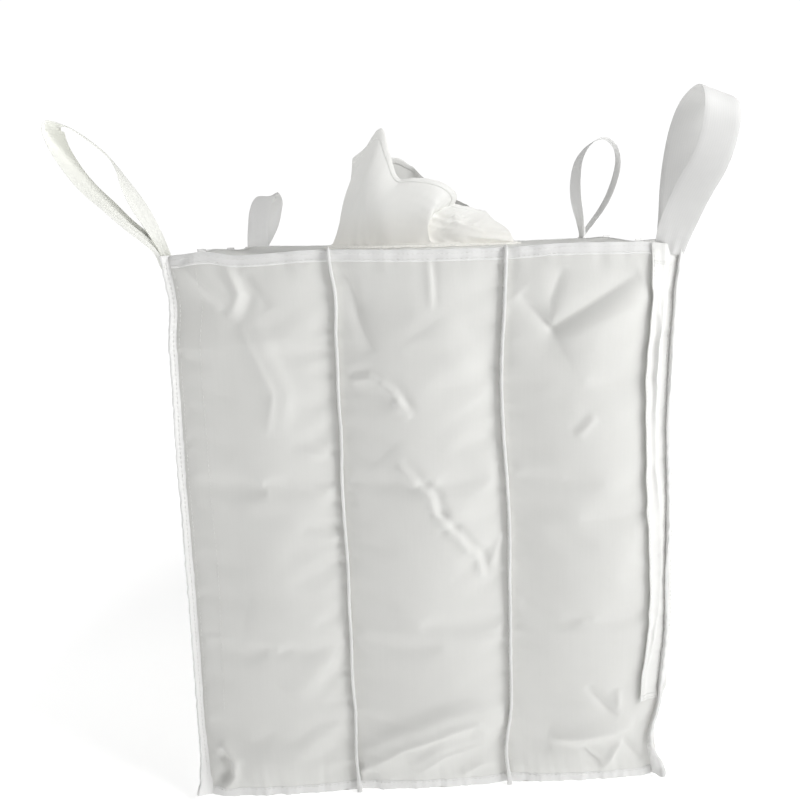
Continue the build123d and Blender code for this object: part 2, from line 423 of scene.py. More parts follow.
def hang_cloth(piece, pinned, slack, swelling, frames, weight):
    """Lets a piece hang as slack cloth that is held at its pinned vertices, and applies the result."""
    group = piece.vertex_groups.new(name="pinned")
    group.add(pinned, 1.0, "REPLACE")
    cloth = piece.modifiers.new("cloth", "CLOTH")
    cloth.settings.quality = 4
    cloth.settings.effector_weights.gravity = weight
    cloth.settings.mass = 0.25
    cloth.settings.tension_stiffness = 12
    cloth.settings.compression_stiffness = 12
    cloth.settings.shear_stiffness = 4
    cloth.settings.bending_stiffness = 1.5
    cloth.settings.air_damping = 3
    cloth.settings.tension_damping = 12
    cloth.settings.compression_damping = 12
    cloth.settings.shrink_min = -slack
    cloth.settings.vertex_group_mass = "pinned"
    cloth.settings.use_pressure = swelling > 0
    cloth.settings.uniform_pressure_force = swelling
    cloth.collision_settings.use_collision = False
    cloth.point_cache.frame_end = frames + 1
    for moment in range(1, frames + 1):
        scene.frame_set(moment)
    apply_modifiers(piece)
    scene.frame_set(1)


def round_spout(angle, z):
    """Points at a height on the circle where the spout meets the top panel."""
    x, y = spout_radius * np.cos(angle) + spout_shift, spout_radius * np.sin(angle)
    return np.stack([x, y, np.full_like(angle, z)], axis=-1)


heights = np.linspace(body_low, body_top, wall_rows + 1)
along_wall = wall_places(wall_columns)
shell = np.concatenate([wall_shape(side, along_wall, heights)[:, :-1] for side in sides], axis=1)
top_edge = shell[-1]
angle = np.arctan2(top_edge[:, 1], top_edge[:, 0])
spout_ring = round_spout(angle, body_top + 0.001)
inwards = (np.arange(1, top_rows + 1) / top_rows)[:, None, None]
top_loft = top_edge * (1 - inwards) + spout_ring * inwards
top_loft[..., 2] -= 0.010 * np.sin(math.pi * inwards[..., 0]) ** 2
shell = np.concatenate([shell, top_loft])
shell_rows, shell_columns = shell.shape[:2]

pins = []
fixed_rows = (0, 1, wall_rows - 1, wall_rows, shell_rows - 1)
for row in range(shell_rows):
    for column in range(shell_columns):
        number = row * shell_columns + column
        on_rib = column % lobe_columns == 0 and row <= wall_rows
        if row in fixed_rows or on_rib:
            pins.append(number)
slack_cloth = mesh_piece("slack_cloth", shell, grid_faces(shell_rows, shell_columns, wraps=True))
hang_cloth(slack_cloth, pins, slack=0.003, swelling=0.30, frames=20, weight=0.05)
shell = read_points(slack_cloth).reshape(shell.shape)
bpy.data.objects.remove(slack_cloth)


def finer(points, sharp_every=None):
    """Doubles a grid's columns with points on a smooth curve. Creases stay at every so many columns."""
    columns = points.shape[1] - 1
    step = sharp_every or columns
    parts = []
    for start in range(0, columns, step):
        p = points[:, start : start + step + 1]
        ends = np.concatenate([2 * p[:, :1] - p[:, 1:2], p, 2 * p[:, -1:] - p[:, -2:-1]], axis=1)
        middle = (9 * (p[:, :-1] + p[:, 1:]) - ends[:, :-3] - ends[:, 3:]) / 16
        both = np.zeros((p.shape[0], 2 * step, 3))
        both[:, 0::2] = p[:, :-1]
        both[:, 1::2] = middle
        parts.append(both)
    parts.append(points[:, -1:])
    return np.concatenate(parts, axis=1)


class Wall:
    """The finished surface of a wall, which its hems, seams and webbing follow."""

    def __init__(self, points, along, up):
        self.points = points
        self.along = along
        self.up = up

    def at(self, u, z, out):
        """The point at a place along the wall and a height, moved off the fabric by out."""
        return self.frame(u, z, out)[0]

    def frame(self, u, z, out=0.0):
        """The point at a place and height, and the directions along, up and out there."""
        u, z = np.broadcast_arrays(np.asarray(u, float), np.asarray(z, float))
        point = self.sample(u, z)
        reach = 0.004
        sideways = self.sample(u + reach, z) - self.sample(u - reach, z)
        upwards = self.sample(u, z + reach) - self.sample(u, z - reach)
        outwards = np.cross(sideways, upwards)
        directions = [unit(d) for d in (sideways, upwards, outwards)]
        return (point + directions[2] * np.asarray(out)[..., None], *directions)

    def sample(self, u, z):
        column = np.interp(u, self.along, np.arange(len(self.along)))
        row = np.interp(z, self.up, np.arange(len(self.up)))
        c = np.clip(column.astype(int), 0, len(self.along) - 2)
        r = np.clip(row.astype(int), 0, len(self.up) - 2)
        s, t = (column - c)[..., None], (row - r)[..., None]
        p = self.points
        low = p[r, c] * (1 - s) + p[r, c + 1] * s
        high = p[r + 1, c] * (1 - s) + p[r + 1, c + 1] * s
        return low * (1 - t) + high * t


def crease(u, z, path, height, width, hollow, sharp=True):
    """How far a crease along a path of wall points lifts the fabric. A hollow runs on its left."""
    path = np.array(path, float)
    spans = np.linalg.norm(np.diff(path, axis=0), axis=1)
    travelled = distances(path)
    nearest = np.full(u.shape, 1e9)
    offset = np.zeros(u.shape)
    place = np.zeros(u.shape)
    for start, stop, span, done in zip(path, path[1:], spans, travelled):
        run = (stop - start) / span
        du, dz = u - start[0], z - start[1]
        t = np.clip(du * run[0] + dz * run[1], 0, span)
        away = np.hypot(du - t * run[0], dz - t * run[1])
        left = run[0] * dz - run[1] * du
        closer = away < nearest
        nearest = np.where(closer, away, nearest)
        offset = np.where(closer, np.sign(left) * away, offset)
        place = np.where(closer, (done + t) / travelled[-1], place)
    taper = np.clip(4 * place * (1 - place), 0, 1) ** 0.6
    reach = nearest / width
    lift = np.exp(-reach) * (1 + reach) if not sharp else np.exp(-(reach**1.2))
    lift = lift - hollow * np.exp(-(((offset / width) - 1.7) ** 2))
    return height * lift * taper


# Creases of the front wall as it stands: the path along it, how proud, how wide, the hollow at
# the left of the path, and whether its line is sharp.
front_creases = (
    # The pocket under the right lobe's top corner.
    (
        ((0.185, 1.015), (0.220, 0.980), (0.250, 0.950), (0.325, 0.995), (0.405, 1.045)),
        -0.015, 0.018, 0, True,
    ),
    (((0.250, 0.965), (0.245, 1.000), (0.265, 1.060)), -0.006, 0.014, 0, True),
    (((0.265, 0.925), (0.340, 0.965), (0.430, 1.010)), 0.010, 0.020, 0, False),
    # The middle lobe, from its top left to its right.
    (((-0.150, 1.090), (-0.130, 1.035), (-0.115, 0.975), (-0.085, 0.915)), -0.008, 0.014, 0, True),
    (((-0.135, 0.860), (-0.095, 0.866), (-0.065, 0.850)), 0.005, 0.009, 0.6, True),
    (((-0.075, 0.858), (-0.050, 0.835), (-0.035, 0.800)), 0.006, 0.010, 0.6, True),
    (((-0.045, 0.830), (-0.020, 0.790)), 0.005, 0.009, 0.4, True),
    (((-0.050, 0.700), (-0.022, 0.668), (-0.008, 0.640)), 0.005, 0.009, 0.5, True),
    (((-0.012, 0.655), (0.010, 0.630), (0.018, 0.590)), 0.006, 0.009, 0.7, True),
    (((0.012, 0.605), (0.032, 0.580), (0.048, 0.560)), 0.005, 0.008, 0.6, True),
    (((0.035, 0.570), (0.060, 0.548), (0.080, 0.520)), 0.006, 0.009, 0.7, True),
    (((0.070, 0.530), (0.096, 0.510), (0.105, 0.465)), 0.005, 0.008, 0.7, True),
    (((-0.070, 0.720), (0.000, 0.640), (0.110, 0.520)), 0.007, 0.040, 0.4, False),
    (((0.000, 0.600), (0.045, 0.600)), -0.004, 0.007, 0, True),
    (((0.020, 0.565), (0.070, 0.575)), -0.004, 0.007, 0, True),
    (((0.150, 0.560), (0.120, 0.485)), 0.005, 0.010, 0.4, True),
    (((0.020, 0.960), (0.115, 0.815)), 0.006, 0.034, 0.5, False),
    (((0.020, 1.085), (0.020, 0.990)), 0.003, 0.006, 0.5, True),
    (
        ((-0.140, 0.050), (-0.045, 0.105), (0.040, 0.140), (0.085, 0.150), (0.140, 0.105)),
        0.014, 0.020, -0.6, True,
    ),
    (((-0.030, 0.040), (0.025, 0.080), (0.120, 0.100)), 0.007, 0.011, -0.5, True),
    (((0.050, 0.030), (0.110, 0.055), (0.150, 0.050)), 0.005, 0.009, 0, True),
    (((-0.155, 0.010), (-0.148, 0.045), (-0.132, 0.060)), 0.009, 0.008, 0.6, True),
    # The right lobe's bottom corner, where the spare cloth folds under.
    (((0.250, 0.110), (0.340, 0.120), (0.435, 0.128)), 0.015, 0.024, 0, True),
    (((0.315, 0.230), (0.366, 0.175), (0.390, 0.165)), -0.007, 0.010, 0, True),
    (((0.384, 0.220), (0.384, 0.165)), 0.006, 0.008, 0, True),
    (((0.320, 0.098), (0.345, 0.065), (0.369, 0.038)), -0.009, 0.010, 0, True),
    (((0.369, 0.038), (0.392, 0.072), (0.415, 0.100)), 0.009, 0.010, 0, True),
    (((0.410, 0.105), (0.435, 0.072), (0.457, 0.042)), -0.008, 0.010, 0, True),
    (((0.295, 0.745), (0.335, 0.785)), 0.004, 0.009, 0.4, True),
    (((0.320, 0.830), (0.390, 0.585), (0.330, 0.330)), 0.006, 0.045, 0, False),
    (((0.200, 0.860), (0.190, 0.500), (0.210, 0.250)), -0.004, 0.030, 0, False),
    # The left lobe: folds at its top corner, short gathers beside the rib, and a curl at the floor.
    (((-0.345, 0.975), (-0.285, 0.840), (-0.300, 0.760)), 0.007, 0.016, -0.5, True),
    (((-0.385, 0.930), (-0.370, 0.700), (-0.385, 0.420)), -0.006, 0.036, 0, False),
    (((-0.250, 0.735), (-0.165, 0.710)), 0.003, 0.012, 0.3, True),
    (((-0.260, 0.670), (-0.165, 0.640)), 0.003, 0.013, 0.3, True),
    (((-0.235, 0.570), (-0.165, 0.545)), 0.003, 0.012, 0.3, True),
    (((-0.365, 0.400), (-0.275, 0.380), (-0.180, 0.330)), 0.006, 0.028, 0.4, False),
    (((-0.170, 0.345), (-0.225, 0.285), (-0.285, 0.225)), 0.005, 0.020, 0.4, False),
    (((-0.445, 1.085), (-0.415, 1.045), (-0.380, 1.000)), 0.007, 0.012, -0.5, True),
    (((-0.361, 1.080), (-0.345, 1.030), (-0.365, 0.985)), 0.007, 0.013, 0.5, True),
    (((-0.325, 1.070), (-0.290, 1.000)), -0.004, 0.012, 0, True),
    (
        ((-0.448, 0.012), (-0.416, 0.050), (-0.412, 0.085), (-0.434, 0.116), (-0.456, 0.104)),
        0.012, 0.010, 0.8, True,
    ),
    (((-0.400, 0.060), (-0.330, 0.080), (-0.230, 0.050)), 0.005, 0.020, 0, False),
)


def stray_creases(seed):
    """Creases for a wall that nobody arranged: most start at a seam and run slantwise across a lobe."""
    draw = np.random.default_rng(seed)
    made = []
    for _ in range(stray_count):
        lobe = draw.integers(-1, 2) * 2 * rib_middle
        start_u = lobe + draw.choice((-1, 1)) * draw.uniform(0.06, 0.15)
        start_z = draw.choice((0.06, 0.12, 0.3, 0.5, 0.7, 0.9, 1.0, 1.05)) + draw.uniform(-0.05, 0.03)
        slant = draw.uniform(-1.1, 1.1)
        length = draw.uniform(0.06, 0.2)
        bend = draw.uniform(-0.5, 0.5)
        toward = -np.sign(start_u - lobe)
        middle = (start_u + toward * length / 2 * math.cos(slant), start_z + length / 2 * math.sin(slant))
        stop = (
            middle[0] + toward * length / 2 * math.cos(slant + bend),
            middle[1] + length / 2 * math.sin(slant + bend),
        )
        soft = draw.uniform() < 0.35
        height = draw.uniform(0.004, 0.008) * draw.choice((1, 1, -1))
        width = draw.uniform(0.02, 0.035) if soft else draw.uniform(0.009, 0.015)
        made.append((((start_u, start_z), middle, stop), height, width, 0.5 if height > 0 else 0, not soft))
    return made


def pucker(u, z, seed):
    """The small gathers beside the rib seams and above and below the hems."""
    total = np.zeros_like(u)
    for hand in (-1, 1):
        off = u - hand * rib_middle
        for flank in (-1, 1):
            near = np.exp(-np.abs(off) / 0.022) * (np.sign(off) == flank)
            patch = 0.5 + 0.5 * ripple(z, seed + 3 * hand + flank, 0.5, 0.2, 4)
            total += 0.0030 * near * np.clip(patch, 0.1, 1.2) * ripple(z, seed + 7 * hand + flank, 0.07, 0.02)
        total -= 0.006 * np.exp(-np.abs(off) / 0.007)
    near_low = np.exp(-(z - body_low) / 0.035)
    near_top = np.exp(-(body_top - z) / 0.028)
    total += 0.0035 * near_low * ripple(u, seed + 31, 0.08, 0.018)
    total += 0.0022 * near_top * ripple(u, seed + 37, 0.09, 0.02)
    return total


def cloth_finish(name, colour, tape, crinkle, gloss, painted_glow=0.0, dusty=None):
    """Woven tape fabric: flat tapes over and under each other, with a faint crinkle and streaks.

    Its glow is a painted glow: the fabric gives off its own colour at that strength, standing in
    for daylight shining through thin fabric. Dusty is a height, and the fabric is tinted by dust below it.
    """
    # Painted glow: the fabric gives off its own colour at the glow strength given, standing in for daylight
    # through thin fabric.
    finish = Finish(name, IOR=1.46, Emission_Color=colour + (1,), Emission_Strength=painted_glow)
    place, body = finish.coordinates("UV"), finish.coordinates("Object")
    across = finish.node("ShaderNodeSeparateXYZ", {}, {"Vector": place})
    up = Wire(finish, across.socket.node.outputs["Y"])
    warp_wave = finish.math("SINE", across * (math.pi / tape))
    weft_wave = finish.math("SINE", up * (math.pi / tape))
    over = finish.math("MINIMUM", warp_wave * weft_wave * 4 + 0.5, 1.0)
    over = finish.math("MAXIMUM", over, 0.0)
    weave = finish.math("ABSOLUTE", warp_wave) * over + finish.math("ABSOLUTE", weft_wave) * (1 - over)
    cloud = finish.noise(body, 4.0, 3.0)
    mottle = finish.noise(body, 45.0, 4.0)
    stretched = finish.node("ShaderNodeMapping", {}, {"Vector": place, "Scale": (260.0, 5.0, 1.0)})
    streak = finish.noise(stretched, 1.0)
    tone = cloud * 0.5 + mottle * 0.2 + streak * 0.3 + weave * 0.1 - 0.05
    shade = finish.shades(tone, colour, 0.93, 1.035)
    if dusty:
        height = finish.node("ShaderNodeSeparateXYZ", {}, {"Vector": body}, "Z")
        span = {"Value": height, "From Min": dusty - 0.09, "From Max": dusty, "To Min": 0.5, "To Max": 0.0}
        dust = finish.node("ShaderNodeMapRange", {}, span) * (cloud * 1.4)
        shade = finish.mix(dust, shade, (0.62, 0.57, 0.48, 1))
    finish.feed("Base Color", shade)
    finish.feed("Roughness", mottle * 0.16 + (gloss - 0.08))
    fold = finish.noise(body, 30.0, 3.0, 0.6)
    finish.feed_relief(weave * 0.00022 + fold * crinkle + mottle * (crinkle * 0.35), 0.35)
    return finish.material


body_cloth = cloth_finish("woven_body_fabric", (0.76, 0.76, 0.735), 0.0024, 0.0012, 0.5)


def sheet_piece(name, points, uvs, material, thickness=fabric):
    """A sheet of fabric with its real thickness, from a grid of points on its outer face."""
    piece = mesh_piece(name, points, grid_faces(*points.shape[:2]), uvs)
    thicken(piece, thickness)
    apply_modifiers(piece)
    piece.data.materials.append(material)
    return piece


def cloth_uvs(points):
    """UV coordinates in metres, measured along the fabric from the middle of its lowest row."""
    across = distances(points, 1)
    rise = mean_distances(points)
    return np.stack([across, np.broadcast_to(rise[:, None], across.shape)], axis=-1)


walls = {}
for index, side in enumerate(sides):
    start = index * wall_columns
    picked = np.arange(start, start + wall_columns + 1) % shell_columns
    points = shell[: wall_rows + 1, picked]
    points = finer(points, lobe_columns)
    points = finer(points.transpose(1, 0, 2)).transpose(1, 0, 2)
    along = np.interp(np.arange(2 * wall_columns + 1) / 2, np.arange(wall_columns + 1), along_wall)
    up = np.linspace(body_low, body_top, 2 * wall_rows + 1)
    u, z = np.meshgrid(along, up)
    lift = pucker(u, z, 100 * (index + 1))
    creases = front_creases if side == "front" else stray_creases(7 + index)
    for path, height, width, hollow, sharp in creases:
        lift += crease(u, z, path, height, width, hollow, sharp)
    lift *= np.clip((half_width - np.abs(u)) / 0.015, 0, 1)
    off_rib = np.minimum(np.abs(u - rib_middle), np.abs(u + rib_middle))
    lift *= np.clip(off_rib / 0.012, 0.35, 1)
    smooth = Wall(points, along, up)
    _, _, _, outwards = smooth.frame(u, z)
    walls[side] = Wall(points + outwards * lift[..., None], along, up)
    panel = sheet_piece(f"{side}_wall", walls[side].points, cloth_uvs(points), body_cloth)
    fit(panel, f"{side}_panel")

top_points = np.concatenate([shell[wall_rows:], shell[wall_rows:, :1]], axis=1)
top_panel = sheet_piece("top_sheet", top_points, top_points[..., :2], body_cloth)
fit(top_panel, "top_panel")


# Bottom panel ---------------------------------------------------------------------------------
# One square of the same fabric lies flat under the fill. Its edges turn up into the bottom hems.

bottom_cells = 32
ground = 0.0014
share = np.linspace(0, 1, bottom_cells + 1)
edge_lines = {side: walls[side].at(share * 2 * half_width - half_width, body_low, -0.001) for side in sides}
front_line, right_line = edge_lines["front"], edge_lines["right"]
back_line, left_line = edge_lines["back"][::-1], edge_lines["left"][::-1]
across, deep = share[None, :, None], share[:, None, None]
flat_points = (
    front_line[None] * (1 - deep)
    + back_line[None] * deep
    + left_line[:, None] * (1 - across)
    + right_line[:, None] * across
    - (front_line[0] * (1 - across) + front_line[-1] * across) * (1 - deep)
    - (back_line[0] * (1 - across) + back_line[-1] * across) * deep
)
unevenness = np.sin(21 * flat_points[..., 0]) * np.cos(17 * flat_points[..., 1])
flat_points[..., 2] = ground + 0.0006 * (1 + unevenness)
bottom_panel = sheet_piece("bottom_sheet", flat_points, flat_points[..., :2], body_cloth)
fit(bottom_panel, "bottom_panel")


# Hems -----------------------------------------------------------------------------------------
# The edges of the walls are folded double over the top and bottom panels and sewn through with a
# row of lock stitches in thick white thread.


def loft_piece(name, rings, material):
    """A closed tube through rings of points, with flat ends and a UV map in metres."""
    rows, count = rings.shape[:2]
    faces = grid_faces(rows, count, wraps=True)
    faces.append(list(range(count))[::-1])
    faces.append([(rows - 1) * count + n for n in range(count)])
    around = np.linalg.norm(np.diff(rings[rows // 2], axis=0, append=rings[rows // 2, :1]), axis=1)
    around = np.concatenate([[0], np.cumsum(around)[:-1]])
    travel = distances(rings.mean(axis=1))
    uvs = np.stack(np.broadcast_arrays(around[None, :], travel[:, None]), axis=-1)
    piece = mesh_piece(name, rings, faces, uvs)
    select_only(piece)
    bpy.ops.object.mode_set(mode="EDIT")
    bpy.ops.mesh.select_all(action="SELECT")
    bpy.ops.mesh.normals_make_consistent(inside=False)
    bpy.ops.object.mode_set(mode="OBJECT")
    bpy.ops.object.shade_smooth_by_angle(angle=math.radians(50))
    piece.data.materials.append(material)
    return piece


hem_cloth = cloth_finish("folded_hem_fabric", (0.84, 0.84, 0.83), 0.0024, 0.0007, 0.5)
thread = Finish("white_sewing_thread", Roughness=0.55, IOR=1.46)
thread_wave = {"Vector": thread.coordinates("Object"), "Scale": 700.0, "Distortion": 2.0}
thread_twist = thread.node("ShaderNodeTexWave", {}, thread_wave)
thread.feed("Base Color", thread.mix(thread_twist, (0.72, 0.72, 0.70, 1), (0.86, 0.86, 0.84, 1)))

stitch_length = 0.0065
stitch_pitch = 0.0090
stitch_thickness = 0.0013
bpy.ops.object.select_all(action="DESELECT")
bpy.ops.mesh.primitive_uv_sphere_add(segments=6, ring_count=4, radius=0.5)
stitch_model = bpy.context.active_object
stitch_points = read_points(stitch_model)[:, [2, 0, 1]]
stitch_faces = [list(face.vertices) for face in stitch_model.data.polygons]
bpy.data.objects.remove(stitch_model)
stitch_size = np.array([stitch_length, stitch_thickness, stitch_thickness])


def stitch_row(line, outwards, pitch=stitch_pitch):
    """Stitches spaced along a line that lies on the fabric: an array of points for each stitch."""
    travel = distances(line)
    places = np.arange(pitch / 2, travel[-1], pitch)

    def on_line(values, shift):
        return np.stack([np.interp(places + shift, travel, values[:, k]) for k in range(3)], axis=-1)

    middle = on_line(line, 0)
    run = unit(on_line(line, pitch / 2) - on_line(line, -pitch / 2))
    cross = unit(np.cross(on_line(outwards, 0), run))
    axes = np.stack([run, cross, np.cross(run, cross)], axis=1)
    return np.einsum("pk,nkc->npc", stitch_points * stitch_size, axes) + middle[:, None]


def stitches_piece(name, rows):
    """All the stitches of several rows as one piece."""
    points = np.concatenate([row for row in rows if len(row)])
    faces = []
    for number in range(len(points)):
        start = number * len(stitch_points)
        faces += [[start + v for v in face] for face in stitch_faces]
    piece = mesh_piece(name, points, faces)
    piece.data.materials.append(thread.material)
    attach(piece, "bag")
    return piece


# The folded edge in section: depth from the edge, how proud, and how far it is lifted past it.
top_fold = (
    (0.0205, 0.0001, 0.0), (0.0200, 0.0007, 0.0), (0.0180, 0.0010, 0.0), (0.0120, 0.0009, 0.0),
    (0.0060, 0.0013, 0.0), (0.0015, 0.0014, 0.0004), (0.0, 0.0004, 0.0014), (0.0, -0.0018, 0.0016),
    (0.0, -0.0034, 0.0004), (0.0060, -0.0026, 0.0), (0.0190, -0.0019, 0.0), (0.0210, -0.0014, 0.0),
)
hem_rows = {"top": [], "bottom": []}
for index, side in enumerate(sides):
    wall = walls[side]
    u = wall.along[1:-1]
    for level in ("top", "bottom"):
        rings = []
        for depth, proud, lifted in top_fold:
            height = body_top - depth if level == "top" else body_low + depth
            uneven = 0.0003 * ripple(u, 11 * index + 5, 0.12, 0.03)
            point, _, _, _ = wall.frame(u, np.full_like(u, height), proud + uneven * (depth < 0.02))
            point[:, 2] += lifted if level == "top" else -0.6 * lifted
            rings.append(point)
        rings = np.stack(rings, axis=1)
        rings[..., 2] = np.maximum(rings[..., 2], 0.0002)
        hem = loft_piece(f"{side}_{level}_hem", rings, hem_cloth)
        fit(hem, f"{level}_hem_{side}")
        for inset in (0.0165, 0.0060) if level == "top" else (0.0165,):
            height = body_top - inset if level == "top" else body_low + inset
            line, _, _, outwards = wall.frame(u, np.full_like(u, height), 0.0012)
            hem_rows[level].append(stitch_row(line, outwards))
for level, rows in hem_rows.items():
    stitches_piece(f"{level}_hem_stitches", rows)


# Rib seams ------------------------------------------------------------------------------------
# Each wall is pinched over the edge of a baffle and sewn through, which leaves a standing fold
# from the floor to a little above the top hem. It leans and puckers along its length.

seam_cloth = cloth_finish("seam_fabric", (0.86, 0.86, 0.85), 0.0024, 0.0006, 0.5)
rib_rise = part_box("rib_seam_front_left")[1].z - body_top
# The fold in section, from the wall outwards and back: across, out.
fold_height = 0.0152
rib_section = (
    (-0.0026, -0.0040), (-0.0017, 0.0020), (-0.0015, 0.0060), (-0.0024, 0.0095), (-0.0030, 0.0120),
    (-0.0023, 0.0144), (0.0, fold_height), (0.0023, 0.0144), (0.0030, 0.0120), (0.0024, 0.0095),
    (0.0015, 0.0060), (0.0017, 0.0020), (0.0026, -0.0040),
)


def fold_rings(root, across, outwards, section, size, width):
    """Rings of a standing fold that follows a line of root points."""
    rings = []
    for side_step, out_step in section:
        sideways = across * (side_step * width)[:, None]
        rings.append(root + sideways + outwards * (out_step * size)[:, None])
    return np.stack(rings, axis=1)


rib_rows = []
rib_heights = np.linspace(0.004, body_top + rib_rise, 240)
for index, side in enumerate(sides):
    for hand, name in ((-1, "left"), (1, "right")):
        seed = 50 + 10 * index + hand
        z = np.clip(rib_heights, body_low, body_top)
        root, sideways, upwards, outwards = walls[side].frame(np.full_like(z, hand * rib_middle), z)
        root[:, 2] += rib_heights - z
        outward = np.array([*wall_out[side], 0.0]) + 0 * root
        across = np.stack([-outward[:, 1], outward[:, 0], 0 * z], axis=-1)
        lean = 0.16 * ripple(rib_heights, seed, 0.5, 0.12) + 0.12
        outward = outward * np.cos(lean)[:, None] + across * np.sin(lean)[:, None]
        puckered = 1 + 0.10 * ripple(rib_heights, seed + 1, 0.05, 0.015)
        low_flare = np.exp(-(rib_heights - 0.004) / 0.018)
        closing = np.clip((rib_heights[-1] - rib_heights) / 0.006, 0, 1) ** 0.5
        width = 1 + 0.12 * ripple(rib_heights, seed + 2, 0.04, 0.012) + 1.1 * low_flare
        width = width * (0.3 + 0.7 * closing)
        size = puckered * (1 + 0.35 * low_flare)
        rings = fold_rings(root, across, outward, rib_section, size, width)
        rib = loft_piece(f"{side}_{name}_rib", rings, seam_cloth)
        fit(rib, f"rib_seam_{side}_{name}")
        for flank in (-1, 1):
            line = root + across * 0.0021 * flank + outward * 0.0045
            rib_rows.append(stitch_row(line[4:-6], across[4:-6] * flank))
stitches_piece("rib_stitches", rib_rows)


# Corner seams ---------------------------------------------------------------------------------
# Two walls meet at each corner with their edges turned out and sewn together, which leaves a soft
# standing seam. At the floor the spare cloth of the corner flares into a little ear.

# Each corner seam: which way it points in plan, and how far its ear stands out at the floor.
corner_lean = {
    "front_left": ((-0.75, -0.66), 0.020),
    "front_right": ((0.30, -0.95), 0.024),
    "back_right": ((0.70, 0.71), 0.015),
    "back_left": ((-0.62, 0.78), 0.017),
}
corner_rows = []
seam_heights = np.linspace(0.003, body_top + 0.001, 200)
for index, (corner, (direction, ear)) in enumerate(corner_lean.items()):
    x, y = corner_line(corner, seam_heights)
    root = np.stack([x, y, seam_heights], axis=-1)
    drift = 0.25 * ripple(seam_heights, 80 + index, 0.6, 0.15)
    plan = np.array([*direction, 0.0]) / np.hypot(*direction)
    aside = np.array([-plan[1], plan[0], 0.0])
    outward = plan * np.cos(drift)[:, None] + aside * np.sin(drift)[:, None]
    across = np.cross([0, 0, 1.0], outward)
    flare = np.exp(-((seam_heights / 0.050) ** 1.4))
    size = 0.95 + 0.10 * ripple(seam_heights, 90 + index, 0.06, 0.02) + flare * ear / fold_height
    curl = across * (0.010 * flare * np.sin(seam_heights / 0.022))[:, None]
    width = 1.25 + 0.15 * ripple(seam_heights, 95 + index, 0.07, 0.02) + 0.8 * flare
    rings = fold_rings(root, across, outward, rib_section, size, width)
    tip = np.array([max(out, 0) for _, out in rib_section]) / fold_height
    rings += curl[:, None] * (tip**2)[None, :, None]
    rings[..., 2] += (0.010 * flare)[:, None] * tip[None, :]
    seam = loft_piece(f"{corner}_corner_seam", rings, seam_cloth)
    fit(seam, f"corner_seam_{corner}")
    for flank in (-1, 1):
        line = root + across * 0.0026 * flank + outward * 0.0050
        corner_rows.append(stitch_row(line[8:-2], across[8:-2] * flank))
stitches_piece("corner_stitches", corner_rows)


# Sewn webbing legs ----------------------------------------------------------------------------
# Each loop's two ends run most of the way down the walls beside its corner. They are flat white
# webbing with fine ribs along it, sewn down both edges, but an edge often stands off the fabric.

web_width = 0.064
web_thickness = 0.0024
leg_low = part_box("web_leg_front_left_front")[0].z


def webbing_finish(name, colour):
    """Close-woven flat webbing: fine ribs run along it, and small weft bars cross them."""
    finish = Finish(name, IOR=1.46)
    body = finish.coordinates("Object")
    across = finish.node("ShaderNodeSeparateXYZ", {}, {"Vector": finish.coordinates("UV")})
    up = Wire(finish, across.socket.node.outputs["Y"])
    rib = finish.math("SINE", across * (2 * math.pi / 0.0042))
    bar = finish.math("SINE", up * (2 * math.pi / 0.0026) + rib * 1.4)
    mottle = finish.noise(body, 60.0, 4.0)
    cloud = finish.noise(body, 9.0)
    tone = cloud * 0.5 + mottle * 0.35 + rib * 0.08 + bar * 0.05
    finish.feed("Base Color", finish.shades(tone, colour, 0.90, 1.04))
    finish.feed("Roughness", mottle * 0.14 + 0.43)
    finish.feed_relief(rib * 0.00009 + bar * 0.00005 + mottle * 0.00006, 0.22)
    return finish.material


webbing = webbing_finish("white_webbing", (0.86, 0.86, 0.84))
